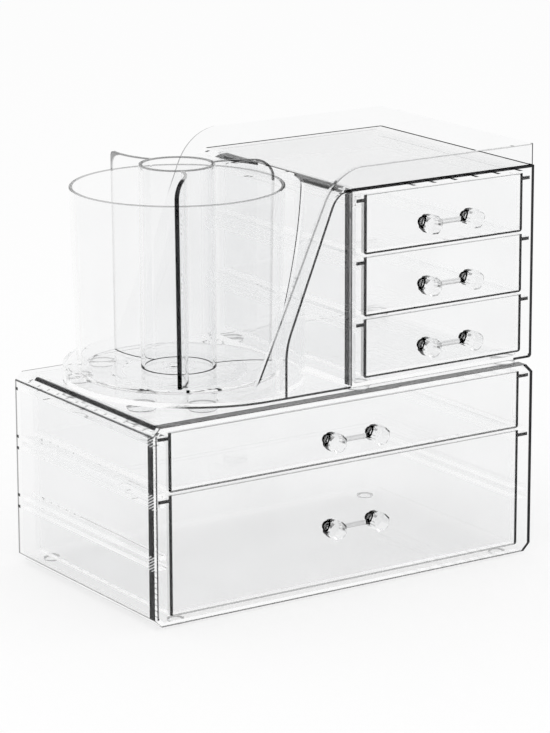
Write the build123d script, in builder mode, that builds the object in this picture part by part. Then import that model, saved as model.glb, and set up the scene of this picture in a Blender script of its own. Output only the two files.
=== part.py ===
"""Clear brush holder with drawers.

A wide two-drawer cabinet carries an upper unit: a tower of three small drawers with
a tray on its top, and beside it a round base on which a divided brush cup turns.
All sizes are millimetres.  X runs along the width, -Y is the front, +Z is up, and
the origin is the middle of the footprint, pulls included, on the table.
"""

from build123d import *
from math import sqrt
import os

# ---------------------------------------------------------------- driving sizes
unit_width = 240.0          # wide cabinet, side to side
unit_depth = 140.0          # both units, front to back, without the pulls
case_wall = 2.4             # walls of both drawer cases
cabinet_height = 105.0
cabinet_bevel = 4.2         # along the cabinet's four long edges
cabinet_drop = 3.1          # top of the first drawer below the cabinet's top
cabinet_rise = 4.7          # lowest drawer above the cabinet's underside
cabinet_bay_share = 0.3125  # runner bay as a share of the cabinet's height
cabinet_drawer_gap = 1.4    # between one drawer and the next
cabinet_side_gap = 6.8      # drawer's side to the cabinet's side wall
tower_height = 105.2
tower_inset = 1.0           # tower's right face in from the cabinet's
tower_corner = 1.8          # rounding of the tower's lower right edge
tower_gap = 0.3             # between the tower and the moulding beside it
tower_drop = 3.7
tower_rise = 4.2
tower_drawer_gap = 1.4
tower_side_gap = 5.2
bay_count = 3               # runner bays in each case

drawer_wall = 1.8
drawer_floor = 2.0
drawer_back_gap = 1.2       # drawer's back to the back wall of its case
drawer_corner = 1.6
runner_drop = 1.7           # top of the runner below the drawer's top edge
runner_thick = 2.0
runner_edge_gap = 0.5       # runner to the case's side wall
rail_edge_gap = 0.9         # rail to the drawer's side
ledge_thick = 2.4           # rail under a runner
guide_thick = 2.7           # rail over a runner
run_gap = 0.3               # clearance between a runner and its rails
rail_front_gap = 1.5        # rails start this far behind the front

pull_post = 9.4             # octagonal posts, across flats
pull_sides = 8
pull_post_length = 10.0
pull_neck = 6.0             # collar between a post and the drawer
pull_neck_length = 1.5
pull_spacing = 27.2         # between the two posts
pull_bevel = 0.9
pull_bar = 2.8              # round bar between the posts
pull_bar_reach = 4.8        # its axis in front of the drawer
shallow_pull_drop = 2.8     # pull below the middle of a shallow drawer
deep_pull_drop = 0.5
peg_diameter = 3.2
peg_clearance = 0.2
peg_head = 5.2
peg_head_thick = 0.8

foot_height = 1.5           # pads under the cabinet
foot_diameter = 9.0
foot_inset_x = 17.0
foot_inset_y = 7.5
stack_foot_height = 3.6     # pads under the upper unit
stack_foot_diameter = 14.0  # under the tower
base_foot_diameter = 16.0   # under the round base
base_foot_inset = 16.5      # nearer the cup's axis than the round end's radius
base_foot_azimuths = (("back_inner", 109.0), ("back_outer", 143.0),
                      ("front_outer", 217.0), ("front_inner", 251.0))
stack_foot_inset = 11.0     # pads under the tower, from its sides and ends

guard_wall = 2.2
guard_height = 11.4         # guard above the tray
guard_corner = 2.0
base_floor = 2.2
base_rim = 7.6              # rim of the round base above its underside
guard_low_reach = 59.5      # from the tower to where the guard's slope meets the rim
guard_low_round = 8.0
guard_high_reach = 9.6      # from the tower to where the slope meets the guard's top
guard_high_round = 28.0
shoulder_reach = 41.4       # from the tower to the shoulders' upright left edge
shoulder_rise = 27.4        # height of that edge
shoulder_low_round = 40.0
shoulder_high_reach = 9.5   # from the tower to where the shoulders' slope meets the top
shoulder_high_bend = 1.35   # rounding there, as a share of that reach
shoulder_wall = 2.2

cup_inset = 59.5            # axis that the cup turns on, from the cabinet's left side
cup_rim_radius = 56.3
cup_foot_radius = 53.3
cup_height = 99.4
cup_wall = 2.0
cup_floor = 2.4
cup_foot_round = 2.5
cup_lip_round = 0.8
cup_lift = 1.8              # underside of the cup above the base's floor
cup_tower_gap = 5.6         # cup's rim to the tower
cup_clearance = 7.7         # cup's rim to the well in the shoulders
tube_radius = 19.9
tube_wall = 1.8
divider_rise = 11.0         # tube and vanes above the cup's rim
vane_thick = 1.6
vane_angles = ((101.0, 97.0), (246.0, 234.0), (343.0, 335.0))   # at the root and tip
vane_bow = 4.5
vane_top_reach = 51.6       # radius of the vanes' outer edge at the top
vane_foot_reach = 50.2
vane_rounds = (3.0, 9.0, 9.0)          # outer top corners

glide_radius = 36.0         # ring that carries the cup
glide_width = 6.0
glide_gap = 0.3
pin_radius = 5.0
pin_gap = 0.4               # cup's hole round the pin
pin_spigot_radius = 3.2
pin_head_radius = 8.5
pin_head_thick = 2.0
pin_head_gap = 0.3
spigot_fit = 0.1            # spigot in the base's hole

# ---------------------------------------------------------------- derived places
pull_reach = pull_neck_length + pull_post_length
front_y = (pull_reach - unit_depth) / 2
back_y = front_y + unit_depth
middle_y = front_y + unit_depth / 2
front_plane = Plane.XZ.offset(-front_y)
cabinet_top = foot_height + cabinet_height
upper_base = cabinet_top + stack_foot_height
upper_top = upper_base + tower_height
guard_top = upper_top + guard_height
base_top = upper_base + base_floor
tower_right = unit_width / 2 - tower_inset
cup_x = cup_inset - unit_width / 2
tower_left = cup_x + cup_rim_radius + cup_tower_gap
tower_width = tower_right - tower_left
tower_x = (tower_left + tower_right) / 2
cabinet_pitch = cabinet_height * cabinet_bay_share
shallow_height = cabinet_pitch - cabinet_drawer_gap
deep_height = cabinet_height - cabinet_drop - cabinet_pitch - cabinet_rise
tower_pitch = (tower_height - tower_drop - tower_rise + tower_drawer_gap) / bay_count
small_height = tower_pitch - tower_drawer_gap
guard_low_x = tower_left - guard_low_reach
guard_high_x = tower_left - guard_high_reach
shoulder_left = tower_left - shoulder_reach
shoulder_high_x = tower_left - shoulder_high_reach
shoulder_high_round = shoulder_high_bend * shoulder_high_reach
round_radius = unit_depth / 2
round_x = round_radius - unit_width / 2
base_foot_ring = round_radius - base_foot_inset
cup_point = (cup_x, middle_y)
cup_base = base_top + cup_lift
cup_inside = cup_base + cup_floor
cup_top = cup_base + cup_height
divider_top = cup_top + divider_rise
well_radius = cup_rim_radius + cup_clearance
past = 6.0                  # cutters run this far past what they cut


def case_rails(middle_x, width, side_gap, first_top, pitch):
    """A ledge and a guide rail on both side walls in each runner bay."""
    length = unit_depth - case_wall - rail_front_gap
    rail_width = side_gap - rail_edge_gap
    rail_y = front_y + rail_front_gap + length / 2
    rail_reach = width / 2 - case_wall - rail_width / 2
    for bay in range(bay_count):
        runner_top = first_top - bay * pitch - runner_drop
        guide_z = runner_top + run_gap + guide_thick / 2
        ledge_z = runner_top - runner_thick - run_gap - ledge_thick / 2
        for rail_x in (middle_x - rail_reach, middle_x + rail_reach):
            with Locations((rail_x, rail_y, guide_z)):
                Box(rail_width, length, guide_thick)
            with Locations((rail_x, rail_y, ledge_z)):
                Box(rail_width, length, ledge_thick)


def make_pad(label, x, y, base, diameter, height):
    """Round pad with a softened lower edge."""
    with BuildPart() as pad:
        with Locations((x, y, base + height / 2)):
            Cylinder(diameter / 2, height)
        fillet(pad.edges().filter_by(GeomType.CIRCLE).group_by(Axis.Z)[0], height / 4)
    pad.part.label = label
    return pad.part


def make_drawer(label, middle_x, case_width, side_gap, top, height, pull_z):
    """Open-topped drawer with a runner along the top of each side."""
    width = case_width - 2 * (case_wall + side_gap)
    length = unit_depth - case_wall - drawer_back_gap
    length_y = front_y + length / 2
    runner_width = side_gap - runner_edge_gap
    runner_reach = (width + runner_width) / 2
    with BuildPart() as drawer:
        with Locations((middle_x, length_y, top - height / 2)):
            Box(width, length, height)
        fillet(drawer.edges().filter_by(Axis.Y).group_by(Axis.Z)[0], drawer_corner)
        with BuildSketch(Plane.XY.offset(top - height + drawer_floor)):
            with Locations((middle_x, length_y)):
                RectangleRounded(width - 2 * drawer_wall, length - 2 * drawer_wall,
                                 drawer_corner)
        extrude(amount=height, mode=Mode.SUBTRACT)
        for runner_x in (middle_x - runner_reach, middle_x + runner_reach):
            with Locations((runner_x, length_y, top - runner_drop - runner_thick / 2)):
                Box(runner_width, length, runner_thick)
        with BuildSketch(front_plane):
            with Locations((middle_x, pull_z)):
                with GridLocations(pull_spacing, 0, 2, 1):
                    Circle((peg_diameter + peg_clearance) / 2)
        extrude(amount=-drawer_wall, mode=Mode.SUBTRACT)
    drawer.part.label = label
    return drawer.part


def make_pull(label, middle_x, pull_z):
    """Two bevelled octagonal posts and a bar, held by pegs with flat heads."""
    with BuildPart() as pull:
        with BuildSketch(front_plane.offset(pull_neck_length)):
            with Locations((middle_x, pull_z)):
                with GridLocations(pull_spacing, 0, 2, 1):
                    RegularPolygon(pull_post / 2, pull_sides, major_radius=False,
                                   rotation=180 / pull_sides)
        extrude(amount=pull_post_length)
        chamfer(pull.faces().filter_by(Axis.Y).edges(), pull_bevel)
        with BuildSketch(front_plane):
            with Locations((middle_x, pull_z)):
                with GridLocations(pull_spacing, 0, 2, 1):
                    Circle(pull_neck / 2)
        extrude(amount=pull_neck_length + pull_bevel)
        with BuildSketch(front_plane.offset(-drawer_wall)):
            with Locations((middle_x, pull_z)):
                with GridLocations(pull_spacing, 0, 2, 1):
                    Circle(peg_diameter / 2)
        extrude(amount=drawer_wall + pull_bevel)
        with BuildSketch(front_plane.offset(-drawer_wall)):
            with Locations((middle_x, pull_z)):
                with GridLocations(pull_spacing, 0, 2, 1):
                    Circle(peg_head / 2)
        extrude(amount=-peg_head_thick)
        with Locations((middle_x, front_y - pull_bar_reach, pull_z)):
            Cylinder(pull_bar / 2, pull_spacing, rotation=(0, 90, 0))
    pull.part.label = label
    return pull.part


def make_vane(root, tip, corner):
    """Bowed vane from the tube's wall out to the cup's, about the cup's own axis."""
    root_point = Vector(tube_radius - tube_wall / 2, 0).rotate(Axis.Z, root)
    tip_point = Vector(vane_top_reach + past, 0).rotate(Axis.Z, tip)
    bow = (tip_point - root_point).rotate(Axis.Z, 90).normalized() * vane_bow
    with BuildPart() as vane:
        with BuildSketch(Plane.XY.offset(cup_inside)):
            with BuildLine():
                ThreePointArc(root_point, (root_point + tip_point) / 2 + bow, tip_point)
            trace(line_width=vane_thick)
        extrude(amount=divider_top - cup_inside)
        with BuildSketch(Plane.XZ) as reach:
            with BuildLine():
                Polyline((0, cup_inside), (vane_foot_reach, cup_inside),
                         (vane_top_reach, divider_top), (0, divider_top), close=True)
            make_face()
            top_corner = reach.vertices().sort_by_distance((vane_top_reach, divider_top))
            fillet(top_corner[0], corner)
        revolve(axis=Axis.Z, mode=Mode.INTERSECT)
    return vane.part


# ---------------------------------------------------------------- wide cabinet
with BuildPart() as cabinet_shell:
    cabinet_middle = foot_height + cabinet_height / 2
    with BuildSketch(front_plane) as cabinet_outline:
        with Locations((0, cabinet_middle)):
            Rectangle(unit_width, cabinet_height)
        chamfer(cabinet_outline.vertices(), cabinet_bevel)
    extrude(amount=-unit_depth)
    with BuildSketch(front_plane) as cabinet_inside:
        with Locations((0, cabinet_middle)):
            Rectangle(unit_width - 2 * case_wall, cabinet_height - 2 * case_wall)
        chamfer(cabinet_inside.vertices(), cabinet_bevel - case_wall * (2 - sqrt(2)))
    extrude(amount=case_wall - unit_depth, mode=Mode.SUBTRACT)
    case_rails(0, unit_width, cabinet_side_gap, cabinet_top - cabinet_drop, cabinet_pitch)
cabinet_shell.part.label = "cabinet_shell"

# ---------------------------------------------------------------- tower of drawers
with BuildPart() as tower_shell:
    tower_middle = upper_base + tower_height / 2
    with BuildSketch(front_plane):
        with Locations((tower_x, tower_middle)):
            Rectangle(tower_width, tower_height)
    extrude(amount=-unit_depth)
    tower_lower_edges = tower_shell.edges().filter_by(Axis.Y).group_by(Axis.Z)[0]
    fillet(tower_lower_edges.sort_by(Axis.X)[-1], tower_corner)
    with BuildSketch(front_plane):
        with Locations((tower_x, tower_middle)):
            Rectangle(tower_width - 2 * case_wall, tower_height - 2 * case_wall)
    extrude(amount=case_wall - unit_depth, mode=Mode.SUBTRACT)
    case_rails(tower_x, tower_width, tower_side_gap, upper_top - tower_drop, tower_pitch)
tower_shell.part.label = "tower_shell"

# ---------------------------------------------------------------- tray guard and cup base
# Hollow of the shoulders, open underneath and against the tower.
with BuildPart() as shoulder_hollow:
    with BuildSketch(front_plane.offset(-shoulder_wall)):
        with BuildLine():
            FilletPolyline((shoulder_left + shoulder_wall, upper_base - past),
                           (shoulder_left + shoulder_wall, upper_base + shoulder_rise),
                           (shoulder_high_x + shoulder_wall / 2, upper_top - shoulder_wall),
                           (tower_left + past, upper_top - shoulder_wall),
                           (tower_left + past, upper_base - past),
                           radius=(0, shoulder_low_round, shoulder_high_round / 2, 0, 0),
                           close=True)
        make_face()
    extrude(amount=2 * shoulder_wall - unit_depth)
    with BuildSketch(Plane.XY.offset(upper_base - past)):
        with Locations(cup_point):
            Circle(well_radius + shoulder_wall)
    extrude(amount=tower_height + 2 * past, mode=Mode.SUBTRACT)

with BuildPart() as tray_and_cup_base:
    # floor, and the wall round it up to the top of the guard
    with BuildSketch(Plane.XY.offset(upper_base)) as base_outline:
        with Locations((round_x, middle_y)):
            Circle(round_radius)
            Rectangle(tower_right - round_x, unit_depth, align=(Align.MIN, Align.CENTER))
        fillet(base_outline.vertices().group_by(Axis.X)[-1], guard_corner)
    extrude(amount=guard_top - upper_base)
    with BuildSketch(Plane.XY.offset(base_top)):
        with Locations((round_x, middle_y)):
            Circle(round_radius - guard_wall)
            Rectangle(tower_right - guard_wall - round_x, unit_depth - 2 * guard_wall,
                      align=(Align.MIN, Align.CENTER))
    extrude(amount=guard_top - base_top, mode=Mode.SUBTRACT)
    # everything above the guard's curve
    with BuildSketch(front_plane.offset(past)):
        with BuildLine():
            FilletPolyline((-unit_width / 2 - past, upper_base + base_rim),
                           (guard_low_x, upper_base + base_rim),
                           (guard_high_x, guard_top),
                           (tower_left + guard_high_round, guard_top),
                           (-unit_width / 2 - past, guard_top + past),
                           radius=(0, guard_low_round, guard_high_round, 0, 0),
                           close=True)
        make_face()
    extrude(amount=-unit_depth - 2 * past, mode=Mode.SUBTRACT)
    # shoulders, with the well that the cup stands in
    with BuildSketch(front_plane):
        with BuildLine():
            FilletPolyline((shoulder_left, upper_base),
                           (shoulder_left, upper_base + shoulder_rise),
                           (shoulder_high_x, upper_top),
                           (tower_left, upper_top),
                           (tower_left, upper_base),
                           radius=(0, shoulder_low_round, shoulder_high_round, 0, 0),
                           close=True)
        make_face()
    extrude(amount=-unit_depth)
    with BuildSketch(Plane.XY.offset(base_top)):
        with Locations(cup_point):
            Circle(well_radius)
        with Locations((shoulder_left - past, middle_y)):
            Rectangle(unit_width, unit_depth, align=(Align.MIN, Align.CENTER),
                      mode=Mode.INTERSECT)
    extrude(amount=tower_height, mode=Mode.SUBTRACT)
    add(shoulder_hollow.part, mode=Mode.SUBTRACT)
    # room for the tower
    with Locations((tower_left - tower_gap, middle_y, upper_top)):
        Box(unit_width, unit_depth + 2 * past, tower_height + past,
            align=(Align.MIN, Align.CENTER, Align.MAX), mode=Mode.SUBTRACT)
    # hole for the pivot pin
    with BuildSketch(Plane.XY.offset(upper_base)):
        with Locations(cup_point):
            Circle(pin_spigot_radius + spigot_fit)
    extrude(amount=base_floor, mode=Mode.SUBTRACT)
tray_and_cup_base.part.label = "tray_and_cup_base"

# ---------------------------------------------------------------- turning cup
with BuildPart() as swivel_pin:
    with Locations((cup_x, middle_y, upper_base)):
        Cylinder(pin_spigot_radius, base_floor, align=(Align.CENTER, Align.CENTER, Align.MIN))
    with Locations((cup_x, middle_y, base_top)):
        Cylinder(pin_radius, cup_lift + cup_floor + pin_head_gap,
                 align=(Align.CENTER, Align.CENTER, Align.MIN))
    with Locations((cup_x, middle_y, cup_inside + pin_head_gap)):
        Cylinder(pin_head_radius, pin_head_thick,
                 align=(Align.CENTER, Align.CENTER, Align.MIN))
    fillet(swivel_pin.edges().filter_by(GeomType.CIRCLE).group_by(Axis.Z)[-1],
           pin_head_thick / 3)
swivel_pin.part.label = "swivel_pin"

with BuildPart() as glide_ring:
    with BuildSketch(Plane.XY.offset(base_top)):
        with Locations(cup_point):
            Circle(glide_radius)
            Circle(glide_radius - glide_width, mode=Mode.SUBTRACT)
    extrude(amount=cup_lift - glide_gap)
glide_ring.part.label = "glide_ring"

with BuildPart() as brush_cup:
    with BuildSketch(Plane.XZ) as cup_section:
        with BuildLine():
            Polyline((0, cup_base), (cup_foot_radius, cup_base), (cup_rim_radius, cup_top),
                     (0, cup_top), close=True)
        make_face()
        fillet(cup_section.vertices().sort_by_distance((cup_foot_radius, cup_base))[0],
               cup_foot_round)
        with BuildLine():
            Polyline((0, cup_inside), (cup_foot_radius - cup_wall, cup_inside),
                     (cup_rim_radius - cup_wall, cup_top), (0, cup_top), close=True)
        make_face(mode=Mode.SUBTRACT)
    revolve(axis=Axis.Z)
    fillet(brush_cup.edges().filter_by(GeomType.CIRCLE).group_by(Axis.Z)[-1],
           cup_lip_round)
    with BuildSketch(Plane.XY.offset(cup_base)):
        Circle(pin_radius + pin_gap)
    extrude(amount=cup_floor, mode=Mode.SUBTRACT)
brush_cup.part.position = (cup_x, middle_y, 0)
brush_cup.part.label = "brush_cup"

with BuildPart() as cup_divider:
    with BuildSketch(Plane.XY.offset(cup_inside)):
        Circle(tube_radius)
    extrude(amount=divider_top - cup_inside)
    for angles, corner in zip(vane_angles, vane_rounds):
        add(make_vane(*angles, corner))
    with BuildSketch(Plane.XY.offset(cup_inside)):
        Circle(tube_radius - tube_wall)
    extrude(amount=divider_top - cup_inside, mode=Mode.SUBTRACT)
cup_divider.part.position = (cup_x, middle_y, 0)
cup_divider.part.label = "cup_divider"

pieces = [cabinet_shell.part, tower_shell.part, tray_and_cup_base.part,
          swivel_pin.part, glide_ring.part, brush_cup.part, cup_divider.part]

# ---------------------------------------------------------------- drawers and pulls
cabinet_first = cabinet_top - cabinet_drop
tower_first = upper_top - tower_drop
for drawer_name, case_x, case_width, side_gap, top, height, pull_drop in (
    ("wide_shallow", 0, unit_width, cabinet_side_gap,
     cabinet_first, shallow_height, shallow_pull_drop),
    ("wide_deep", 0, unit_width, cabinet_side_gap,
     cabinet_first - cabinet_pitch, deep_height, deep_pull_drop),
    ("small_top", tower_x, tower_width, tower_side_gap,
     tower_first, small_height, shallow_pull_drop),
    ("small_middle", tower_x, tower_width, tower_side_gap,
     tower_first - tower_pitch, small_height, shallow_pull_drop),
    ("small_bottom", tower_x, tower_width, tower_side_gap,
     tower_first - (bay_count - 1) * tower_pitch, small_height, shallow_pull_drop),
):
    pull_z = top - height / 2 - pull_drop
    pieces.append(make_drawer(f"{drawer_name}_drawer", case_x, case_width, side_gap,
                              top, height, pull_z))
    pieces.append(make_pull(f"{drawer_name}_pull", case_x, pull_z))

# ---------------------------------------------------------------- feet
for end, foot_y in (("front", front_y + foot_inset_y), ("back", back_y - foot_inset_y)):
    for hand, foot_x in (("left", foot_inset_x - unit_width / 2),
                         ("right", unit_width / 2 - foot_inset_x)):
        pieces.append(make_pad(f"cabinet_foot_{end}_{hand}", foot_x, foot_y, 0,
                               foot_diameter, foot_height))

for place, azimuth in base_foot_azimuths:
    reach = Vector(base_foot_ring, 0).rotate(Axis.Z, azimuth)
    pieces.append(make_pad(f"base_foot_{place}", cup_x + reach.X, middle_y + reach.Y,
                           cabinet_top, base_foot_diameter, stack_foot_height))

for end, foot_y in (("front", front_y + stack_foot_inset),
                    ("back", back_y - stack_foot_inset)):
    for hand, foot_x in (("left", tower_left + stack_foot_inset),
                         ("right", tower_right - stack_foot_inset)):
        pieces.append(make_pad(f"tower_foot_{end}_{hand}", foot_x, foot_y,
                               cabinet_top, stack_foot_diameter, stack_foot_height))

os.makedirs("parts", exist_ok=True)
for piece in pieces:
    export_step(piece, f"parts/{piece.label}.step")
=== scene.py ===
"""Looks, stage and camera for the clear brush holder with drawers."""

import math

import bmesh
import bpy
from bpy.props import FloatProperty, FloatVectorProperty, PointerProperty
from mathutils import Matrix, Vector


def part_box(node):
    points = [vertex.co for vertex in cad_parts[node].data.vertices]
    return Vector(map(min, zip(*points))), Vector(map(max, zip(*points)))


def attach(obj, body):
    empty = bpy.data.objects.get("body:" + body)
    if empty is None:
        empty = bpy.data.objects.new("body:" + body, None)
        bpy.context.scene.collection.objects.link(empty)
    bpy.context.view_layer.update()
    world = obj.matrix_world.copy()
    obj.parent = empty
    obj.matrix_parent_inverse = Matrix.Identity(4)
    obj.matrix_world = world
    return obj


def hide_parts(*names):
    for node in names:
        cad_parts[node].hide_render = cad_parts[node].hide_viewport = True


bl_info = {
    "name": "Clear Brush Holder",
    "version": (1, 0, 0),
    "blender": (4, 5, 0),
    "location": "View3D > Sidebar > Brush Holder",
    "description": "Finishes a clear drawer organiser and sets up its stage",
    "category": "Object",
}

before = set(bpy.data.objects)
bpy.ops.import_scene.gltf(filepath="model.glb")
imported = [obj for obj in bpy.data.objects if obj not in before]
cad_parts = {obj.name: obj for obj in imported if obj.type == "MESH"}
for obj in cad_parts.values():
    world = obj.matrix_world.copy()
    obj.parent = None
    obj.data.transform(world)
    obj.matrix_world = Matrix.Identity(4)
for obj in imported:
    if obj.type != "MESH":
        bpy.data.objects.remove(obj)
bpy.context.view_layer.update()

MM = 0.001
# the dark lines and bands set up below are painted shade, standing in for the dark that
# refraction brings to the plastic's edges
SOFT = 0.25 * MM            # how softly a dark line ends
SKIN = 0.1 * MM             # how deep a line on a flat face reaches
CABINET_BEVEL = 4.2 * MM
# a case's front band is painted shade, in place of the dark seen through its front edge
BAND, BAND_EDGE = 6.6 * MM, 0.7 * MM    # a case's dark front band and its borders
LOWEST_RAIL, RAIL_GROUP = 34.0 * MM, 3.9 * MM   # height, and half of what a pair takes up
BASE_RIM = 7.6 * MM
WELL = 64.0 * MM            # radius of the well round the cup
CUP_FOOT = 53.3 * MM
PULL_POST, PULL_RADIUS = 10.0 * MM, 4.7 * MM
PULL_BEND = 1.1             # refraction of the pulls
SOFT_BEND = 1.06            # refraction of the pads and of the cup's bearing
PAD_GAP = 0.05 * MM         # air between a pad and what it touches
RING_WIDTH = 6.0 * MM       # ring that the cup glides on
PIN_NECK, PIN_SPIGOT, PIN_HEAD = 5.0 * MM, 3.2 * MM, 2.0 * MM
# reaches from the tower, height and roundings of the shoulders' and the guard's outlines
SHOULDER = (41.4 * MM, 27.4 * MM, 9.5 * MM, 40.0 * MM, 12.8 * MM)
GUARD = (59.5 * MM, 9.6 * MM, 8.0 * MM, 28.0 * MM)
VANE_TOP, VANE_FOOT, VANE_ROUND = 51.6 * MM, 50.2 * MM, 9.0 * MM
# each vane's azimuth, and how dark the painted shade on its outer edge is inside the cup and
# above it
VANE_LOOKS = ((97, 0.1, 0.4), (236, 0.985, 0.985), (335, 0.1, 0.6))
# each drawer's runner width, and how dark the painted shade on its lower edge and on its
# side is
DRAWER_LOOKS = {
    "wide_shallow": (6.3 * MM, 0.78, 0.15),
    "wide_deep": (6.3 * MM, 0.5, 0.15),
    "small_top": (4.7 * MM, 0.94, 0.42),
    "small_middle": (4.7 * MM, 0.94, 0.42),
    "small_bottom": (4.7 * MM, 0.93, 0.42),
}
DRAWERS = tuple(DRAWER_LOOKS)
FLOOR_REACH = 6.0
LAMP_SIZE, LAMP_PLACE, LAMP_AIM = 1.6, (-0.5, -0.6, 1.8), (0.5, 0.6, -1.7)
BOUNCES = 128               # enough for light that runs along inside a wall


# ---------------------------------------------------------------- settings
class HolderFinish(bpy.types.PropertyGroup):
    """How the clear moulded plastic looks."""

    clear: FloatVectorProperty(
        name="Clear", description="Colour of a flat clear wall", subtype="COLOR",
        size=3, min=0, max=1, default=(0.995, 0.996, 0.997))
    # painted shade: the near-black colour of the dark lines along edges, which stand in for
    # the dark that refraction and reflection bring there, not a colour that collects in the
    # plastic
    edge: FloatVectorProperty(
        name="Edge", description="Colour that collects along an edge", subtype="COLOR",
        size=3, min=0, max=1, default=(0.0004, 0.0004, 0.0005))
    refraction: FloatProperty(
        name="Refraction", description="How much the plastic bends light", min=1, max=2,
        default=1.12)
    cloud: FloatProperty(
        name="Cloud", description="Unevenness of the clear faces", min=0, max=1,
        default=0.02)
    roughness: FloatProperty(
        name="Roughness", description="Polish of the moulded faces", min=0, max=1,
        default=0.015)


class HolderStage(bpy.types.PropertyGroup):
    """Floor, light and camera."""

    floor: FloatVectorProperty(
        name="Floor", description="Colour of the floor", subtype="COLOR", size=3,
        min=0, max=1, default=(0.97, 0.97, 0.97))
    whiteness: FloatProperty(
        name="Whiteness", description="Share of the floor's look that is plain white",
        min=0, max=1, default=0.75)
    sky: FloatProperty(
        name="Sky", description="Strength of the even light all round", min=0,
        default=0.9)
    key: FloatProperty(
        name="Key", description="Power of the large lamp overhead", unit="POWER",
        min=0, default=6.0)
    focal: FloatProperty(
        name="Focal length", description="Lens of the camera, in millimetres", min=1,
        default=168.86)
    yaw: FloatProperty(
        name="Yaw", description="Camera's turn to the right", subtype="ANGLE",
        default=math.radians(33.54))
    pitch: FloatProperty(
        name="Pitch", description="Camera's tilt down", subtype="ANGLE",
        default=math.radians(14.42))
    roll: FloatProperty(
        name="Roll", description="Camera's roll", subtype="ANGLE",
        default=math.radians(-0.17))
    place: FloatVectorProperty(
        name="Place", description="Camera's place", subtype="TRANSLATION", size=3,
        unit="LENGTH", default=(-0.98578, -1.48153, 0.56594))


# ---------------------------------------------------------------- node helpers
class Nodes:
    """A material's node tree, with short calls that return sockets."""

    def __init__(self, name):
        self.material = bpy.data.materials.new(name)
        self.material.use_nodes = True
        self.tree = self.material.node_tree
        self.shader = self.tree.nodes["Principled BSDF"]
        self.output = self.tree.nodes["Material Output"]
        coordinates = self.tree.nodes.new("ShaderNodeTexCoord")
        self.place = coordinates.outputs["Object"]
        self.x, self.y, self.z = self.split(self.place)

    def link(self, source, target):
        self.tree.links.new(source, target)

    def operate(self, kind, operation, values, clamp=False):
        node = self.tree.nodes.new(kind)
        node.operation = operation
        if clamp:
            node.use_clamp = True
        for socket, value in zip(node.inputs, values):
            if isinstance(value, bpy.types.NodeSocket):
                self.link(value, socket)
            else:
                socket.default_value = value
        return node.outputs[0]

    def math(self, operation, *values, clamp=False):
        return self.operate("ShaderNodeMath", operation, values, clamp)

    def vector(self, operation, *values):
        return self.operate("ShaderNodeVectorMath", operation, values)

    def split(self, value):
        node = self.tree.nodes.new("ShaderNodeSeparateXYZ")
        self.link(value, node.inputs[0])
        return node.outputs

    def fade(self, distance, dark, soft=SOFT):
        """Darkness dark up to distance 0, gone a soft width beyond it."""
        mask = self.math("MULTIPLY_ADD", distance, -dark / soft, dark, clamp=True)
        return self.math("MINIMUM", mask, dark)

    def near(self, value, at, reach, dark=1.0, soft=SOFT):
        """Dark where value is within reach of at."""
        away = self.math("ABSOLUTE", self.math("SUBTRACT", value, at))
        return self.fade(self.math("SUBTRACT", away, reach), dark, soft)

    def over(self, value, level, dark=1.0, soft=SOFT):
        """Dark where value is over the level."""
        return self.fade(self.math("SUBTRACT", level, value), dark, soft)

    def under(self, value, level, dark=1.0, soft=SOFT):
        """Dark where value is under the level."""
        return self.fade(self.math("SUBTRACT", value, level), dark, soft)

    def box(self, low, high, dark, soft=SOFT):
        """Dark inside the box between two corners."""
        centre = [(a + b) / 2 for a, b in zip(low, high)]
        half = [abs(a - b) / 2 for a, b in zip(low, high)]
        away = self.vector("ABSOLUTE", self.vector("SUBTRACT", self.place, centre))
        x, y, z = self.split(self.vector("SUBTRACT", away, half))
        return self.fade(self.math("MAXIMUM", self.math("MAXIMUM", x, y), z), dark, soft)

    def length(self, x, y):
        squares = self.math("MULTIPLY_ADD", x, x, self.math("MULTIPLY", y, y))
        return self.math("SQRT", squares)

    def about(self, node):
        """Distances along x and y from the upright axis through a CAD node's middle."""
        low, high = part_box(node)
        return (self.math("SUBTRACT", self.x, (low[0] + high[0]) / 2),
                self.math("SUBTRACT", self.y, (low[1] + high[1]) / 2))

    def any_of(self, masks):
        result = masks[0]
        for mask in masks[1:]:
            result = self.math("MAXIMUM", result, mask)
        return result

    def both(self, *masks):
        result = masks[0]
        for mask in masks[1:]:
            result = self.math("MULTIPLY", result, mask)
        return result

    def outline_x(self, points):
        """X of an outline at this height, for points (x, z) that climb."""
        low, high = points[0][1], points[-1][1]
        across = [x for x, z in points]
        left, right = min(across), max(across)
        node = self.tree.nodes.new("ShaderNodeFloatCurve")
        curve = node.mapping.curves[0]
        curve.points[0].location = (0, (points[0][0] - left) / (right - left))
        curve.points[1].location = (1, (points[-1][0] - left) / (right - left))
        for x, z in points[1:-1]:
            curve.points.new((z - low) / (high - low), (x - left) / (right - left))
        for point in curve.points:
            point.handle_type = "VECTOR"
        node.mapping.update()
        share = self.math("DIVIDE", self.math("SUBTRACT", self.z, low), high - low,
                          clamp=True)
        self.link(share, node.inputs["Value"])
        return self.math("MULTIPLY_ADD", node.outputs[0], right - left, left)

    def noise(self, scale, detail=2.0):
        node = self.tree.nodes.new("ShaderNodeTexNoise")
        node.inputs["Scale"].default_value = scale
        node.inputs["Detail"].default_value = detail
        self.link(self.place, node.inputs["Vector"])
        return node.outputs["Fac"]

    def spread(self, value, low, high):
        """Maps 0 to 1 onto low to high."""
        node = self.tree.nodes.new("ShaderNodeMapRange")
        node.inputs["To Min"].default_value = low
        node.inputs["To Max"].default_value = high
        self.link(value, node.inputs["Value"])
        return node.outputs["Result"]

    def mix(self, mask, first, second):
        node = self.tree.nodes.new("ShaderNodeMix")
        node.data_type = "RGBA"
        self.link(mask, node.inputs["Factor"])
        node.inputs["A"].default_value = (*first, 1)
        node.inputs["B"].default_value = (*second, 1)
        return node.outputs["Result"]


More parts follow.
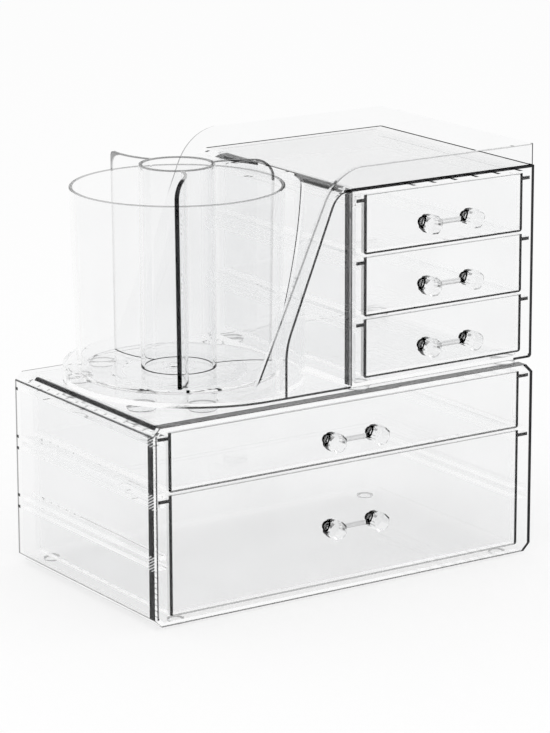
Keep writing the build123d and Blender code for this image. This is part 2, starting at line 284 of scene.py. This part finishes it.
def rounded(points, radii, steps=8):
    """Points of an open outline whose inner corners are rounded."""
    result = [points[0]]
    for before, corner, after, radius in zip(points, points[1:], points[2:], radii):
        corner = Vector(corner)
        back = (Vector(before) - corner).normalized()
        ahead = (Vector(after) - corner).normalized()
        half = back.angle(ahead) / 2
        centre = corner + (back + ahead).normalized() * radius / math.sin(half)
        start = corner + back * radius / math.tan(half)
        end = corner + ahead * radius / math.tan(half)
        for step in range(steps + 1):
            chord = start.lerp(end, step / steps)
            result.append(tuple(centre + (chord - centre).normalized() * radius))
    return result + [points[-1]]


def seen_ray(tree):
    """1 for a ray that shows the background: seen directly, mirrored or through plastic."""
    path = tree.nodes.new("ShaderNodeLightPath")
    seen = path.outputs["Is Camera Ray"]
    for kind in ("Is Glossy Ray", "Is Transmission Ray"):
        either = tree.nodes.new("ShaderNodeMath")
        either.operation = "MAXIMUM"
        tree.links.new(seen, either.inputs[0])
        tree.links.new(path.outputs[kind], either.inputs[1])
        seen = either.outputs[0]
    return seen


def clear_plastic(name, lines=None, refraction=None):
    """Polished clear plastic.  lines(nodes) returns the masks of painted shade: dark lines
    that stand in for the dark that refraction brings to edges.
    """
    finish = bpy.context.scene.holder_finish
    nodes = Nodes(name)
    shader = nodes.shader
    shader.inputs["Transmission Weight"].default_value = 1.0
    shader.inputs["IOR"].default_value = refraction or finish.refraction
    haze = nodes.noise(9.0)
    nodes.link(nodes.spread(haze, finish.roughness * 0.5, finish.roughness * 1.5),
               shader.inputs["Roughness"])
    cloud = nodes.spread(nodes.noise(30.0), 0.0, finish.cloud)
    # cloud is the plastic's own uneven tone; the lines are painted shade, mixed towards the
    # edge colour
    mask = nodes.any_of([cloud] + (lines(nodes) if lines else []))
    # a face's colour tints light by its square root, so the mask is squared to match
    light = nodes.math("SUBTRACT", 1.0, mask)
    dark = nodes.math("SUBTRACT", 1.0, nodes.both(light, light))
    nodes.link(nodes.mix(dark, finish.clear, finish.edge), shader.inputs["Base Color"])
    return nodes.material


def dress(node, material):
    """Gives a CAD node its material."""
    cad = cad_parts[node]
    cad.data.materials.clear()
    cad.data.materials.append(material)


# ---------------------------------------------------------------- shapes
def turned(name, centre, section, steps=96):
    """A piece turned about an upright axis, from its section's (radius, height) points."""
    shape = bmesh.new()
    rings = []
    for radius, height in section:
        count = steps if radius else 1
        rings.append([shape.verts.new((centre[0] + radius * math.cos(math.tau * k / steps),
                                       centre[1] + radius * math.sin(math.tau * k / steps),
                                       height)) for k in range(count)])
    closed = len(rings[0]) > 1
    for first, second in zip(rings, rings[1:] + (rings[:1] if closed else [])):
        for k in range(steps):
            after = (k + 1) % steps
            corners = [first[k % len(first)], first[after % len(first)],
                       second[after % len(second)], second[k % len(second)]]
            shape.faces.new(list(dict.fromkeys(corners)))
    bmesh.ops.recalc_face_normals(shape, faces=shape.faces)
    mesh = bpy.data.meshes.new(name)
    shape.to_mesh(mesh)
    shape.free()
    piece = bpy.data.objects.new(name, mesh)
    bpy.context.scene.collection.objects.link(piece)
    return piece


def pad_tree():
    """Geometry nodes that stand a round pad with a softened lower edge on each point."""
    tree = bpy.data.node_groups.new("round_pads", "GeometryNodeTree")
    tree.interface.new_socket("Geometry", in_out="INPUT", socket_type="NodeSocketGeometry")
    for name in ("Radius", "Height", "Softening"):
        socket = tree.interface.new_socket(name, in_out="INPUT",
                                           socket_type="NodeSocketFloat")
        socket.subtype = "DISTANCE"
    tree.interface.new_socket("Material", in_out="INPUT", socket_type="NodeSocketMaterial")
    tree.interface.new_socket("Geometry", in_out="OUTPUT", socket_type="NodeSocketGeometry")
    add, link = tree.nodes.new, tree.links.new
    given, result = add("NodeGroupInput"), add("NodeGroupOutput")

    def compute(operation, first, second):
        node = add("ShaderNodeMath")
        node.operation = operation
        for socket, value in zip(node.inputs, (first, second)):
            if isinstance(value, (int, float)):
                socket.default_value = value
            else:
                link(value, socket)
        return node.outputs[0]

    pad = add("GeometryNodeMeshCylinder")
    pad.inputs["Vertices"].default_value = 48
    pad.inputs["Side Segments"].default_value = 8
    link(given.outputs["Radius"], pad.inputs["Radius"])
    link(given.outputs["Height"], pad.inputs["Depth"])
    # the lower half draws in towards its edge
    place, split = add("GeometryNodeInputPosition"), add("ShaderNodeSeparateXYZ")
    link(place.outputs[0], split.inputs[0])
    half = compute("MULTIPLY", given.outputs["Height"], 0.5)
    below = compute("MAXIMUM", compute("DIVIDE", split.outputs["Z"],
                                       compute("MULTIPLY", half, -1.0)), 0.0)
    drawn = compute("MULTIPLY", compute("POWER", below, 3.0), given.outputs["Softening"])
    share = compute("DIVIDE", drawn, given.outputs["Radius"])
    inward = add("ShaderNodeCombineXYZ")
    for axis in ("X", "Y"):
        moved = compute("MULTIPLY", compute("MULTIPLY", split.outputs[axis], share), -1.0)
        link(moved, inward.inputs[axis])
    link(half, inward.inputs["Z"])
    shift = add("GeometryNodeSetPosition")
    link(pad.outputs["Mesh"], shift.inputs["Geometry"])
    link(inward.outputs[0], shift.inputs["Offset"])
    stand, real = add("GeometryNodeInstanceOnPoints"), add("GeometryNodeRealizeInstances")
    link(given.outputs["Geometry"], stand.inputs["Points"])
    link(shift.outputs[0], stand.inputs["Instance"])
    link(stand.outputs[0], real.inputs[0])
    paint = add("GeometryNodeSetMaterial")
    link(real.outputs[0], paint.inputs["Geometry"])
    link(given.outputs["Material"], paint.inputs["Material"])
    link(paint.outputs[0], result.inputs[0])
    return tree


def grown(name, places, tree, values):
    """The plain mesh that a tree of geometry nodes grows on some points."""
    mesh = bpy.data.meshes.new(f"{name}_places")
    mesh.from_pydata(places, [], [])
    seed = bpy.data.objects.new(f"{name}_places", mesh)
    bpy.context.scene.collection.objects.link(seed)
    modifier = seed.modifiers.new("Pads", "NODES")
    modifier.node_group = tree
    for item in tree.interface.items_tree:
        if item.in_out == "INPUT" and item.name in values:
            modifier[item.identifier] = values[item.name]
    graph = bpy.context.evaluated_depsgraph_get()
    result = bpy.data.meshes.new_from_object(seed.evaluated_get(graph))
    result.name = name
    bpy.data.objects.remove(seed)
    piece = bpy.data.objects.new(name, result)
    bpy.context.scene.collection.objects.link(piece)
    return piece


# ---------------------------------------------------------------- pieces
class HOLDER_OT_cases(bpy.types.Operator):
    """Finish the wide cabinet and the tower"""

    bl_idname = "holder.cases"
    bl_label = "Drawer Cases"

    def execute(self, context):
        dress("cabinet_shell", clear_plastic("clear_cabinet_shell", self.cabinet))
        dress("tower_shell", clear_plastic("clear_tower_shell", self.tower))
        return {"FINISHED"}

    def cabinet(self, nodes):
        # every mask below is painted shade: dark lines and bands that stand in for the dark
        # refraction brings to the walls' edges and bevels
        (left, front, low), (right, back, top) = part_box("cabinet_shell")
        bevel_low, bevel_top = low + CABINET_BEVEL, top - CABINET_BEVEL
        inner_left, inner_right = left + CABINET_BEVEL, right - CABINET_BEVEL
        before, edge = front - SKIN, front + SKIN
        # painted: the rails show in the side's painted dark band as slanted lighter stripes,
        # in place of their refraction
        slant = nodes.math("MULTIPLY_ADD", nodes.y, 0.55, nodes.z)
        stripes = nodes.over(nodes.math("PINGPONG", slant, 0.8 * MM), 0.5 * MM, 0.7, SKIN)
        heights = [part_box(f"{drawer}_drawer")[1][2] - 2.4 * MM
                   for drawer in ("wide_shallow", "wide_deep")] + [low + LOWEST_RAIL]
        rails = nodes.any_of([nodes.near(nodes.z, height, RAIL_GROUP)
                              for height in heights])
        rail_ends = nodes.any_of([nodes.near(nodes.z, height + shift, BAND_EDGE)
                                  for height in heights
                                  for shift in (-3.2 * MM, 3.2 * MM)])
        side = nodes.box((left - SKIN, before, bevel_low),
                         (left + SKIN, front + 4.8 * MM, bevel_top), 0.955)
        side = nodes.math("SUBTRACT", side, nodes.both(rails, stripes), clamp=True)
        rising = nodes.math("ADD", nodes.x, nodes.z)
        falling = nodes.math("SUBTRACT", nodes.x, nodes.z)
        face = nodes.near(nodes.y, front, SKIN)
        return [
            side,
            # inner edge of the left wall, and the edge of the right wall
            nodes.box((left + 1.7 * MM, before, bevel_low),
                      (left + 2.6 * MM, edge, bevel_top), 0.9),
            nodes.box((right - 1.8 * MM, before, bevel_low),
                      (right + SKIN, edge, bevel_top), 0.98),
            # band along the front of the top
            nodes.box((inner_left, before, top - SKIN),
                      (inner_right, front + BAND, top + SKIN), 0.8),
            nodes.box((inner_left, front, top - SKIN),
                      (inner_right, front + 0.6 * MM, top + SKIN), 0.85),
            nodes.box((inner_left, front + BAND - BAND_EDGE, top - SKIN),
                      (inner_right, front + BAND, top + SKIN), 0.95),
            # bevels
            nodes.box((left + 2.9 * MM, front + 3 * MM, top - 1.7 * MM),
                      (left + 5.2 * MM, back - 16 * MM, top + SKIN), 0.95),
            nodes.box((left - SKIN, front, bevel_top - 0.3 * MM),
                      (left + 0.3 * MM, back, bevel_top + 0.3 * MM), 0.85),
            nodes.both(face, nodes.near(rising, right + bevel_top, 2.2 * MM, 0.97)),
            nodes.both(face, nodes.near(falling, left - bevel_top, 0.5 * MM, 0.9)),
            nodes.both(face, nodes.near(falling, right - bevel_low, 2.0 * MM, 0.97)),
            nodes.both(face, nodes.near(rising, left + bevel_low, 0.3 * MM, 0.6)),
            # underside
            nodes.box((inner_left, before, low - SKIN),
                      (inner_right, edge, low + 0.6 * MM), 0.72),
            nodes.box((left - SKIN, front, bevel_low - 0.3 * MM),
                      (left + 0.3 * MM, back, bevel_low + 0.3 * MM), 0.6),
            nodes.box((inner_left - 0.3 * MM, front, low - SKIN),
                      (inner_left + 0.3 * MM, back, low + 0.3 * MM), 0.75),
            # back
            nodes.box((inner_left, back - 0.7 * MM, top - SKIN),
                      (inner_right, back + SKIN, top + SKIN), 0.88),
            nodes.box((left - SKIN, back - 1.3 * MM, bevel_low),
                      (left + SKIN, back + SKIN, bevel_top), 0.55),
            nodes.both(rail_ends, nodes.box((left - SKIN, back - 2.6 * MM, bevel_low),
                                            (left + SKIN, back + SKIN, bevel_top), 0.93)),
        ]

    def tower(self, nodes):
        (left, front, low), (right, back, top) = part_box("tower_shell")
        before, edge = front - SKIN, front + SKIN
        rise = low + 1.2 * MM
        # every mask below is painted shade along the tower's edges, in place of the dark
        # that refraction brings there
        return [
            # left side behind the front
            nodes.box((left - SKIN, before, rise),
                      (left + SKIN, front + BAND, top), 0.89),
            nodes.box((left - SKIN, before, rise),
                      (left + SKIN, front + BAND_EDGE, top), 0.94),
            nodes.box((left - SKIN, front + BAND - BAND_EDGE, rise),
                      (left + SKIN, front + BAND, top), 0.94),
            # front edges
            nodes.box((right - 1.6 * MM, before, rise), (right + SKIN, edge, top), 0.97),
            nodes.box((left, before, top - 1.1 * MM),
                      (right, front + 1.2 * MM, top + SKIN), 0.98),
            nodes.over(nodes.z, top - SKIN, 0.09),
            nodes.box((right - 12 * MM, before, low - SKIN),
                      (right - 1.2 * MM, edge, low + 1.2 * MM), 0.97),
            nodes.box((right - 2.3 * MM, before, low + 0.2 * MM),
                      (right - 0.3 * MM, edge, low + 2.2 * MM), 0.95),
            nodes.box((left, before, low - SKIN),
                      (right - 12 * MM, edge, low + 0.3 * MM), 0.45),
            # top beside the shoulders
            nodes.box((left, front + 9 * MM, top - SKIN),
                      (left + 1.4 * MM, back - 20 * MM, top + SKIN), 0.8),
        ]


class HOLDER_OT_base(bpy.types.Operator):
    """Finish the moulding that carries the tray and the cup"""

    bl_idname = "holder.base"
    bl_label = "Tray and Cup Base"

    def execute(self, context):
        dress("tray_and_cup_base", clear_plastic("clear_tray_and_cup_base", self.moulding))
        return {"FINISHED"}

    def moulding(self, nodes):
        (left, front, low), (right, back, top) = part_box("tray_and_cup_base")
        tower_left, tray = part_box("tower_shell")[0][0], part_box("tower_shell")[1][2]
        rim = low + BASE_RIM
        before, edge = front - SKIN, front + 3 * SKIN
        shoulder = rounded([(tower_left - SHOULDER[0], low),
                            (tower_left - SHOULDER[0], low + SHOULDER[1]),
                            (tower_left - SHOULDER[2], tray), (tower_left, tray)],
                           SHOULDER[3:])
        guard = rounded([(tower_left - 2 * GUARD[0], rim), (tower_left - GUARD[0], rim),
                         (tower_left - GUARD[1], top), (tower_left + GUARD[0], top)],
                        GUARD[2:])
        climb = nodes.outline_x([point for point in shoulder if point[1] < tray - 0.1 * MM])
        guard_climb = nodes.outline_x([point for point in guard
                                       if rim + 0.1 * MM < point[1] < top - 0.1 * MM])
        face = nodes.near(nodes.y, front, 2 * SKIN)
        far_face = nodes.near(nodes.y, back, 2 * SKIN)
        from_shoulder = nodes.math("SUBTRACT", nodes.x, climb)
        from_guard = nodes.math("SUBTRACT", nodes.x, guard_climb)
        from_cup = nodes.length(*nodes.about("brush_cup"))
        # outer side of the round end and of the straight front and back
        round_end = left + (back - front) / 2
        past_end = nodes.math("MAXIMUM", nodes.math("SUBTRACT", round_end, nodes.x), 0.0)
        from_middle = nodes.math("SUBTRACT", nodes.y, (front + back) / 2)
        outside = nodes.over(nodes.length(past_end, from_middle),
                             (back - front) / 2 - SKIN, 1.0, SKIN)
        # the guard's line and its strength are painted shade, and so are all the masks
        # below: dark curves and edges in place of refraction dark
        guard_line = nodes.near(from_guard, 0.4 * MM, 0.45 * MM)
        low_part = nodes.under(nodes.z, low + 21 * MM, 1.0, 12 * MM)
        guard_dark = nodes.math("MULTIPLY_ADD", low_part, 0.45, 0.5)
        return [
            # shoulders' curve, and its edge round the well
            nodes.both(face, nodes.near(from_shoulder, 0.7 * MM, 0.6 * MM, 0.92),
                       nodes.under(nodes.z, tray - 0.5 * MM)),
            nodes.box((tower_left - 5 * MM, before, tray - 1.3 * MM),
                      (tower_left, edge, tray + SKIN), 0.97),
            nodes.both(nodes.near(from_shoulder, 0.6 * MM, 0.8 * MM, 0.93),
                       nodes.near(from_cup, WELL, 0.5 * MM), nodes.under(nodes.y, 0.0),
                       nodes.near(nodes.z, low + 70 * MM, 32 * MM, 1.0, 3 * MM)),
            # guard's curve, strongest where it comes down
            nodes.both(face, guard_line, guard_dark),
            nodes.both(far_face, guard_line,
                       nodes.over(nodes.z, tray - 15 * MM, 0.45, 9 * MM)),
            nodes.box((tower_left - 78 * MM, before, rim - 0.5 * MM),
                      (tower_left - 60 * MM, edge, rim + SKIN), 0.8),
            nodes.box((tower_left, before, top - 0.4 * MM), (right, edge, top + SKIN), 0.35),
            nodes.box((tower_left, before, tray - SKIN),
                      (right, edge, tray + 0.4 * MM), 0.98),
            nodes.box((right - 1.5 * MM, before, tray),
                      (right + SKIN, front + 2 * MM, top), 0.97),
            # shoulders' top beside the tray
            nodes.box((tower_left - 9.5 * MM, front + 8 * MM, tray - 1.2 * MM),
                      (tower_left + SKIN, back - 20 * MM, tray + SKIN), 0.8),
            # lower edge of the round end
            nodes.both(outside, nodes.near(nodes.z, low + 0.6 * MM, 0.45 * MM),
                       nodes.box((left + 30 * MM, before, low - SKIN),
                                 (tower_left, front + 40 * MM, rim), 0.92, 9 * MM)),
        ]


class HOLDER_OT_drawers(bpy.types.Operator):
    """Finish the five drawers"""

    bl_idname = "holder.drawers"
    bl_label = "Drawers"

    def execute(self, context):
        for drawer in DRAWERS:
            material = clear_plastic(f"clear_{drawer}_drawer",
                                     lambda nodes: self.drawer(nodes, drawer))
            dress(f"{drawer}_drawer", material)
        return {"FINISHED"}

    def drawer(self, nodes, name):
        (left, front, low), (right, back, top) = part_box(f"{name}_drawer")
        runner, foot_line, side_strip = DRAWER_LOOKS[name]
        own_left, own_right = left + runner, right - runner
        before, edge = front - SKIN, front + SKIN
        # painted shade along the drawer's front edges: the runners' ends, the sides, the
        # lower and top edges
        ends = [nodes.box((start, before, top - 3.6 * MM), (end, edge, top - 2.0 * MM), 0.94)
                for start, end in ((left, own_left), (own_right, right))]
        return ends + [
            nodes.box((own_left - SKIN, before, low + 0.4 * MM),
                      (own_left + 1.6 * MM, edge, top + SKIN), 0.94),
            nodes.box((own_right - 1.5 * MM, before, low + 0.4 * MM),
                      (own_right + SKIN, edge, top + SKIN), 0.96),
            nodes.box((own_left, before, low + 0.1 * MM),
                      (own_right, edge, low + 0.9 * MM), foot_line),
            nodes.box((own_left, before, top - 0.3 * MM),
                      (own_right, edge, top + SKIN), 0.5),
            nodes.box((own_left - SKIN, front, low),
                      (own_left + SKIN, front + 2.4 * MM, top - 4 * MM), side_strip),
        ]


class HOLDER_OT_pulls(bpy.types.Operator):
    """Finish the pulls"""

    bl_idname = "holder.pulls"
    bl_label = "Pulls"

    def execute(self, context):
        for drawer in DRAWERS:
            material = clear_plastic(f"clear_{drawer}_pull",
                                     lambda nodes: self.pull(nodes, drawer), PULL_BEND)
            dress(f"{drawer}_pull", material)
        return {"FINISHED"}

    def pull(self, nodes, name):
        (left, front, low), (right, back, top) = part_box(f"{name}_pull")
        post_back, middle_z = front + PULL_POST, (low + top) / 2
        across = nodes.math("SUBTRACT", nodes.x, (left + right) / 2)
        side = nodes.math("SIGN", across)
        spread = (right - left) / 2 - PULL_RADIUS
        x = nodes.math("MULTIPLY_ADD", side, -spread, across)
        from_back = nodes.math("SUBTRACT", post_back, nodes.y)
        up = nodes.math("SUBTRACT", nodes.z, middle_z)
        left_half = nodes.under(x, 0.6 * MM)
        left_post = nodes.under(side, 0.0)
        post = nodes.near(x, 0.0, PULL_RADIUS)
        root = nodes.both(post, nodes.near(from_back, 2.3 * MM, 2.3 * MM, 0.8))
        # painted shade on the pull's facets and bar, in place of the dark that refraction
        # brings to them
        return [
            # side and top facets close to the drawer
            nodes.both(root, left_half, nodes.over(up, -1.6 * MM)),
            nodes.both(root, left_half, left_post),
            # stripes along the facets' edges
            nodes.both(nodes.near(up, 2.6 * MM, 0.5 * MM, 0.7), post,
                       nodes.near(from_back, 6.2 * MM, 2.0 * MM), left_post),
            nodes.both(nodes.near(up, -0.4 * MM, 0.4 * MM, 0.6), post,
                       nodes.near(from_back, 5.6 * MM, 1.4 * MM), left_post),
            nodes.both(nodes.near(up, 3.6 * MM, 0.4 * MM, 0.5), post,
                       nodes.near(from_back, 7.4 * MM, 1.2 * MM)),
            # bar
            nodes.both(nodes.near(nodes.math("ABSOLUTE", up), 0.9 * MM, 0.25 * MM, 0.25),
                       nodes.under(nodes.math("ABSOLUTE", across), spread - PULL_RADIUS)),
        ]


class HOLDER_OT_cup(bpy.types.Operator):
    """Finish the turning cup, its divider and its bearing"""

    bl_idname = "holder.cup"
    bl_label = "Brush Cup"

    def execute(self, context):
        dress("brush_cup", clear_plastic("clear_brush_cup", self.cup))
        dress("cup_divider", clear_plastic("clear_cup_divider", self.divider))
        self.bearing()
        return {"FINISHED"}

    def bearing(self):
        """Ring and pin under the cup, a hair clear of the floor that they stand on."""
        ring_low, ring_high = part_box("glide_ring")
        centre = ((ring_low[0] + ring_high[0]) / 2, (ring_low[1] + ring_high[1]) / 2)
        reach, floor = (ring_high[0] - ring_low[0]) / 2, ring_low[2] + PAD_GAP
        ring = turned("glide", centre, [
            (reach - RING_WIDTH, floor), (reach, floor), (reach, ring_high[2]),
            (reach - RING_WIDTH, ring_high[2])])
        pin_low, pin_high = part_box("swivel_pin")
        head, neck, spigot = (pin_high[0] - pin_low[0]) / 2, PIN_NECK, PIN_SPIGOT
        under_head, edge = pin_high[2] - PIN_HEAD, 0.6 * MM
        pin = turned("pivot", centre, [
            (0, pin_low[2]), (spigot, pin_low[2]), (spigot, floor), (neck, floor),
            (neck, under_head), (head, under_head), (head, pin_high[2] - edge),
            (head - edge, pin_high[2]), (0, pin_high[2])])
        for piece, node in ((ring, "glide_ring"), (pin, "swivel_pin")):
            piece.data.materials.append(clear_plastic(f"clear_{node}",
                                                      refraction=SOFT_BEND))
            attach(piece, "organiser")
            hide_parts(node)

    def cup(self, nodes):
        low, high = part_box("brush_cup")
        from_axis = nodes.length(*nodes.about("brush_cup"))
        side = nodes.over(from_axis, CUP_FOOT - 1 * MM)
        # painted shade along the cup's rim and its foot, in place of refraction dark
        return [nodes.over(nodes.z, high[2] - 0.4 * MM, 0.42),
                nodes.both(side, nodes.under(nodes.z, low[2] + 1.2 * MM, 0.15))]

    def divider(self, nodes):
        cup_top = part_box("brush_cup")[1][2]
        foot, top = (corner[2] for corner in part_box("cup_divider"))
        x, y = nodes.about("brush_cup")
        radius = nodes.length(x, y)
        climb = nodes.math("DIVIDE", nodes.math("SUBTRACT", nodes.z, foot), top - foot)
        reach = nodes.math("MULTIPLY_ADD", climb, VANE_TOP - VANE_FOOT, VANE_FOOT)
        # painted shade on the vanes' outer and rounded edges and along the top, in place of
        # refraction dark
        outer = nodes.over(nodes.math("SUBTRACT", radius, reach), -1.0 * MM)
        corner = nodes.length(nodes.math("SUBTRACT", radius, VANE_TOP - VANE_ROUND),
                              nodes.math("SUBTRACT", nodes.z, top - VANE_ROUND))
        round_edge = nodes.both(nodes.over(corner, VANE_ROUND - 1.1 * MM),
                                nodes.over(radius, VANE_TOP - VANE_ROUND),
                                nodes.over(nodes.z, top - VANE_ROUND))
        top_edge = nodes.over(nodes.z, top - 0.5 * MM, 0.55)
        above = nodes.over(nodes.z, cup_top)
        masks = [top_edge]
        for azimuth, below_dark, above_dark in VANE_LOOKS:
            angle = math.radians(azimuth)
            along = nodes.math("MULTIPLY_ADD", x, math.cos(angle),
                               nodes.math("MULTIPLY", y, math.sin(angle)))
            there = nodes.over(nodes.math("MULTIPLY_ADD", radius, -0.97, along), 0.0)
            dark = nodes.spread(above, below_dark, above_dark)
            masks.append(nodes.both(there, nodes.any_of([outer, round_edge]), dark))
        return masks


class HOLDER_OT_feet(bpy.types.Operator):
    """Make the pads under both units"""

    bl_idname = "holder.feet"
    bl_label = "Feet"

    def execute(self, context):
        tree = pad_tree()
        for name, slot in (("cabinet", "cabinet_feet"), ("base", "stacking_feet"),
                           ("tower", "stacking_feet")):
            nodes = [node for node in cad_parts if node.startswith(f"{name}_foot_")]
            boxes = [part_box(node) for node in nodes]
            places = [((low[0] + high[0]) / 2, (low[1] + high[1]) / 2, low[2] + PAD_GAP)
                      for low, high in boxes]
            low, high = boxes[0]
            radius, height = (high[0] - low[0]) / 2, high[2] - low[2] - 2 * PAD_GAP
            material = clear_plastic(
                f"clear_{name}_pads",
                lambda material_nodes: self.pad(material_nodes, places, radius),
                SOFT_BEND)
            pads = grown(f"{name}_pads", places, tree,
                         {"Radius": radius, "Height": height, "Softening": height / 4,
                          "Material": material})
            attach(pads, "organiser")
            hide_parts(*nodes)
        return {"FINISHED"}

    def pad(self, nodes, places, radius):
        """A thin painted dark line round the lower edge of each pad, painted shade in place
        of the dark that refraction brings to that edge.
        """
        low = nodes.under(nodes.z, places[0][2] + 0.6 * MM, 0.55)
        rims = []
        for x, y, z in places:
            from_middle = nodes.length(nodes.math("SUBTRACT", nodes.x, x),
                                       nodes.math("SUBTRACT", nodes.y, y))
            rims.append(nodes.near(from_middle, radius, 1.2 * MM))
        return [nodes.both(low, nodes.any_of(rims))]


class HOLDER_OT_stage(bpy.types.Operator):
    """Set up the floor, the light and the camera"""

    bl_idname = "holder.stage"
    bl_label = "Stage"

    def execute(self, context):
        stage = context.scene.holder_stage
        self.floor(context, stage)
        self.world(context, stage)
        self.lamp(context, stage)
        self.camera(context, stage)
        context.scene.view_settings.view_transform = "Standard"
        # light that is mirrored inside a wall counts as glossy
        context.scene.cycles.max_bounces = BOUNCES
        context.scene.cycles.transmission_bounces = BOUNCES
        context.scene.cycles.glossy_bounces = BOUNCES
        context.scene.cycles.transparent_max_bounces = 32
        return {"FINISHED"}

    def floor(self, context, stage):
        mesh = bpy.data.meshes.new("floor")
        mesh.from_pydata([(x * FLOOR_REACH, y * FLOOR_REACH, 0)
                          for x, y in ((-1, -1), (1, -1), (1, 1), (-1, 1))],
                         [], [(0, 1, 2, 3)])
        floor = bpy.data.objects.new("floor", mesh)
        context.scene.collection.objects.link(floor)
        nodes = Nodes("floor")
        nodes.shader.inputs["Base Color"].default_value = (*stage.floor, 1)
        nodes.shader.inputs["Roughness"].default_value = 0.9
        nodes.shader.inputs["Specular IOR Level"].default_value = 0.0
        white = nodes.tree.nodes.new("ShaderNodeEmission")
        blend = nodes.tree.nodes.new("ShaderNodeMixShader")
        share = nodes.math("MULTIPLY", seen_ray(nodes.tree), stage.whiteness)
        nodes.link(share, blend.inputs["Fac"])
        nodes.link(nodes.shader.outputs[0], blend.inputs[1])
        nodes.link(white.outputs[0], blend.inputs[2])
        nodes.link(blend.outputs[0], nodes.output.inputs["Surface"])
        mesh.materials.append(nodes.material)

    def world(self, context, stage):
        world = bpy.data.worlds.new("studio")
        context.scene.world = world
        world.use_nodes = True
        tree = world.node_tree
        background = tree.nodes["Background"]
        background.inputs["Color"].default_value = (1, 1, 1, 1)
        strength = tree.nodes.new("ShaderNodeMapRange")
        strength.inputs["To Min"].default_value = stage.sky
        strength.inputs["To Max"].default_value = 1.0
        tree.links.new(seen_ray(tree), strength.inputs["Value"])
        tree.links.new(strength.outputs["Result"], background.inputs["Strength"])

    def lamp(self, context, stage):
        light = bpy.data.lights.new("key", "AREA")
        light.shape = "DISK"
        light.size = LAMP_SIZE
        light.energy = stage.key
        lamp = bpy.data.objects.new("key", light)
        lamp.location = LAMP_PLACE
        lamp.rotation_euler = Vector(LAMP_AIM).to_track_quat("-Z", "Y").to_euler()
        context.scene.collection.objects.link(lamp)

    def camera(self, context, stage):
        lens = bpy.data.cameras.new("camera")
        lens.sensor_fit = "VERTICAL"
        lens.sensor_height = 36
        lens.lens = stage.focal
        lens.clip_end = 50
        camera = bpy.data.objects.new("camera", lens)
        turn = Matrix.Rotation(-stage.yaw, 4, "Z")
        tilt = Matrix.Rotation(math.pi / 2 - stage.pitch, 4, "X")
        roll = Matrix.Rotation(stage.roll, 4, "Z")
        camera.matrix_world = Matrix.Translation(stage.place) @ turn @ tilt @ roll
        context.scene.collection.objects.link(camera)
        context.scene.camera = camera


STEPS = ("cases", "base", "drawers", "pulls", "cup", "feet", "stage")


class HOLDER_PT_panel(bpy.types.Panel):
    """Lists the pieces of the holder"""

    bl_label = "Brush Holder"
    bl_idname = "HOLDER_PT_panel"
    bl_space_type = "VIEW_3D"
    bl_region_type = "UI"
    bl_category = "Brush Holder"

    def draw(self, context):
        for step in STEPS:
            self.layout.operator(f"holder.{step}")


CLASSES = (HolderFinish, HolderStage, HOLDER_OT_cases, HOLDER_OT_base,
           HOLDER_OT_drawers, HOLDER_OT_pulls, HOLDER_OT_cup, HOLDER_OT_feet,
           HOLDER_OT_stage, HOLDER_PT_panel)


def register():
    for item in CLASSES:
        bpy.utils.register_class(item)
    bpy.types.Scene.holder_finish = PointerProperty(type=HolderFinish)
    bpy.types.Scene.holder_stage = PointerProperty(type=HolderStage)


def unregister():
    del bpy.types.Scene.holder_stage
    del bpy.types.Scene.holder_finish
    for item in reversed(CLASSES):
        bpy.utils.unregister_class(item)


def main():
    register()
    for step in STEPS:
        getattr(bpy.ops.holder, step)()


if __name__ == "__main__":
    main()
